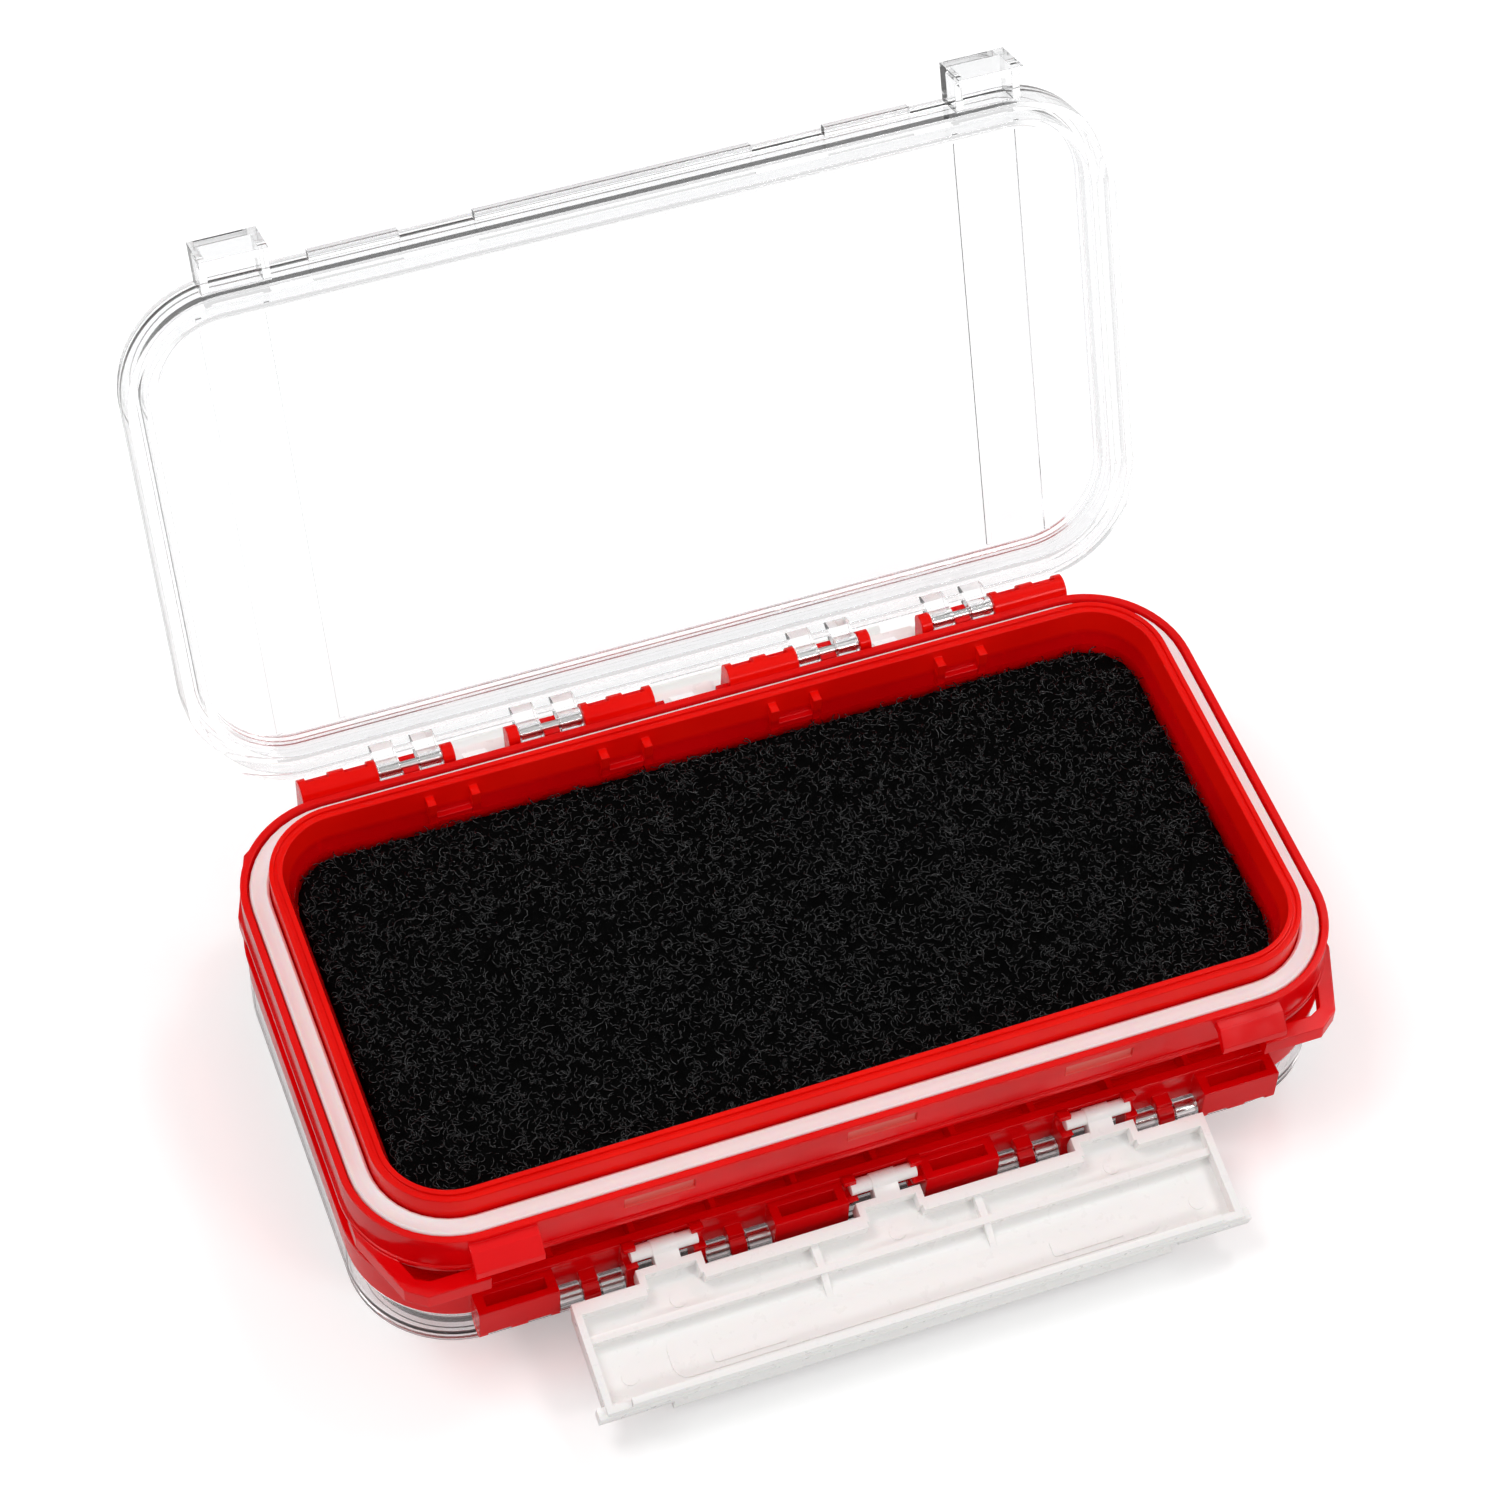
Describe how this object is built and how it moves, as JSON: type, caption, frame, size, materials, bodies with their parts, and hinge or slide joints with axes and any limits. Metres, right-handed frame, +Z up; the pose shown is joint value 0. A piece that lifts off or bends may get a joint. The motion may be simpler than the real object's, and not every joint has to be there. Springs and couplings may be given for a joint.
{
  "type": "double-sided tackle box",
  "caption": "Double-sided flat case: two equal trays back to back, each with a seal, a fibre mat, a clear hinged lid and a pivoting latch.",
  "frame": {"origin": "centre of the closed lower lid's outer face, on which the box rests", "axes": "+X along the box to its right, +Y towards the upper lid's hinge, +Z up"},
  "size_m": [0.1866, 0.178, 0.1333],
  "materials": {
    "red_plastic": "translucent red, moulded gloss",
    "white_rubber": "soft white silicone",
    "black_fibre": "curled loop fibre",
    "clear_plastic": "clear, polished",
    "white_plastic": "moulded, satin",
    "pin_steel": "drawn wire"
  },
  "bodies": {
    "case": {"upper_shell": "red_plastic", "lower_shell": "red_plastic", "upper_seal": "white_rubber", "lower_seal": "white_rubber", "upper_mat": "black_fibre", "lower_mat": "black_fibre", "upper_pin_outer_right": "pin_steel", "upper_pin_outer_left": "pin_steel", "upper_pin_inner_right": "pin_steel", "upper_pin_inner_left": "pin_steel", "lower_pin_outer_right": "pin_steel", "lower_pin_outer_left": "pin_steel", "lower_pin_inner_right": "pin_steel", "lower_pin_inner_left": "pin_steel"},
    "upper_lid_body": {"upper_lid": "clear_plastic"},
    "lower_lid_body": {"lower_lid": "clear_plastic"},
    "front_latch_body": {"front_latch": "white_plastic"},
    "back_latch_body": {"back_latch": "white_plastic"}
  },
  "joints": [
    {"name": "upper_lid_hinge", "type": "hinge", "parent": "case", "child": "upper_lid_body", "pos_m": [0, 0.0516, 0.0331], "axis": [-1, 0, 0], "range_deg": [-112, 0]},
    {"name": "lower_lid_hinge", "type": "hinge", "parent": "case", "child": "lower_lid_body", "pos_m": [0, -0.0516, 0.0099], "axis": [-1, 0, 0], "range_deg": [0, 75]},
    {"name": "front_latch_pivot", "type": "hinge", "parent": "case", "child": "front_latch_body", "pos_m": [0, -0.0512, 0.0165], "axis": [1, 0, 0], "range_deg": [-103.5, 0]},
    {"name": "back_latch_pivot", "type": "hinge", "parent": "case", "child": "back_latch_body", "pos_m": [0, 0.0512, 0.0265], "axis": [1, 0, 0], "range_deg": [-30, 60]}
  ]
}
